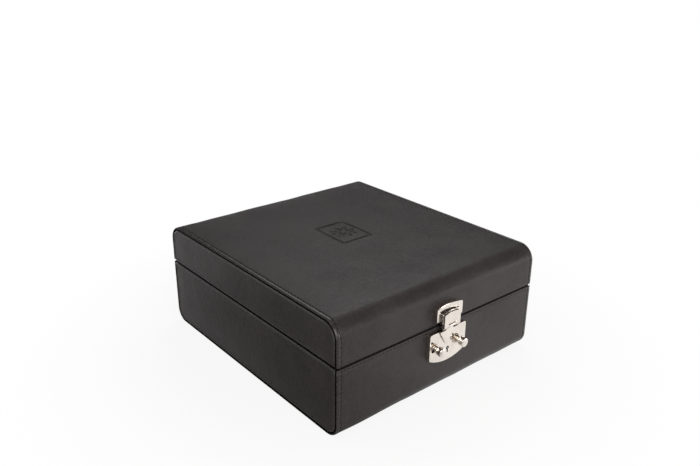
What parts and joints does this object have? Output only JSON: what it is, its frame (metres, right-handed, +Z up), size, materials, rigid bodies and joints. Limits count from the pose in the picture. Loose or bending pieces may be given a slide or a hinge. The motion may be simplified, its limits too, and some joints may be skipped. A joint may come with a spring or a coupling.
{
  "type": "jewelry box",
  "caption": "Leather-covered jewelry box: hinged lid with a mirror, lined base with ring rolls and compartments, and a two-knob hasp lock.",
  "frame": {"origin": "on the standing surface, under the middle of the case body (its width and depth, without the lock and hinges)", "axes": "+X to the right along the front, +Y from the front to the back, +Z up"},
  "size_m": [0.2, 0.2379, 0.089],
  "materials": {
    "leather": "black fine-grained leatherette, satin",
    "board": "raw fibreboard",
    "velvet": "short warm grey velvet over padding",
    "felt": "black felt",
    "foam": "soft foam sheet",
    "mirror": "silvered flat glass",
    "nickel": "polished nickel plating",
    "steel": "plain plated steel"
  },
  "bodies": {
    "base": {"bottom_felt": "felt", "base_bottom_board": "board", "base_front_board": "board", "base_back_board": "board", "base_left_board": "board", "base_right_board": "board", "base_cover": "leather", "base_left_panel": "leather", "base_right_panel": "leather", "base_rim": "leather", "base_wall_lining": "velvet", "base_floor_lining": "velvet", "ring_bed": "velvet", "ring_rolls": "velvet", "front_divider": "velvet", "middle_divider": "velvet", "small_dividers": "velvet", "back_divider": "velvet", "left_hinge_base_leaf": "steel", "right_hinge_base_leaf": "steel", "left_hinge_pin": "steel", "right_hinge_pin": "steel", "base_hinge_screws": "steel", "lock_back_plate": "steel", "lock_cover": "nickel", "lock_rivets": "steel", "key_post": "steel", "left_bolt_spring": "steel", "right_bolt_spring": "steel"},
    "lid": {"lid_top_board": "board", "lid_front_board": "board", "lid_back_board": "board", "lid_left_board": "board", "lid_right_board": "board", "lid_foam": "foam", "lid_cover": "leather", "lid_left_panel": "leather", "lid_right_panel": "leather", "lid_rim": "leather", "lid_wall_lining": "velvet", "mirror_frame": "velvet", "mirror": "mirror", "left_hinge_lid_leaf": "steel", "right_hinge_lid_leaf": "steel", "lid_hinge_screws": "steel", "hasp_plate": "nickel", "hasp_cap": "nickel", "hasp_rivets": "steel", "hasp_pin": "steel"},
    "tongue": {"hasp_tongue": "nickel"},
    "left_knob": {"left_bolt": "steel", "left_knob": "nickel"},
    "right_knob": {"right_bolt": "steel", "right_knob": "nickel"}
  },
  "joints": [
    {"name": "lid_hinge", "type": "hinge", "parent": "base", "child": "lid", "pos_m": [0, 0.1132, 0.056], "axis": [-1, 0, 0], "range_deg": [0, 95]},
    {"name": "tongue_hinge", "type": "hinge", "parent": "lid", "child": "tongue", "pos_m": [0, -0.117, 0.0573], "axis": [-1, 0, 0], "range_deg": [0, 110]},
    {"name": "left_knob_slide", "type": "slide", "parent": "base", "child": "left_knob", "axis": [-1, 0, 0], "range_m": [0, 0.0035], "stiffness_N_per_m": 200, "springref_m": -0.004, "deforming": ["left_bolt_spring"]},
    {"name": "right_knob_slide", "type": "slide", "parent": "base", "child": "right_knob", "axis": [1, 0, 0], "range_m": [0, 0.0035], "stiffness_N_per_m": 200, "springref_m": -0.004, "deforming": ["right_bolt_spring"]}
  ]
}
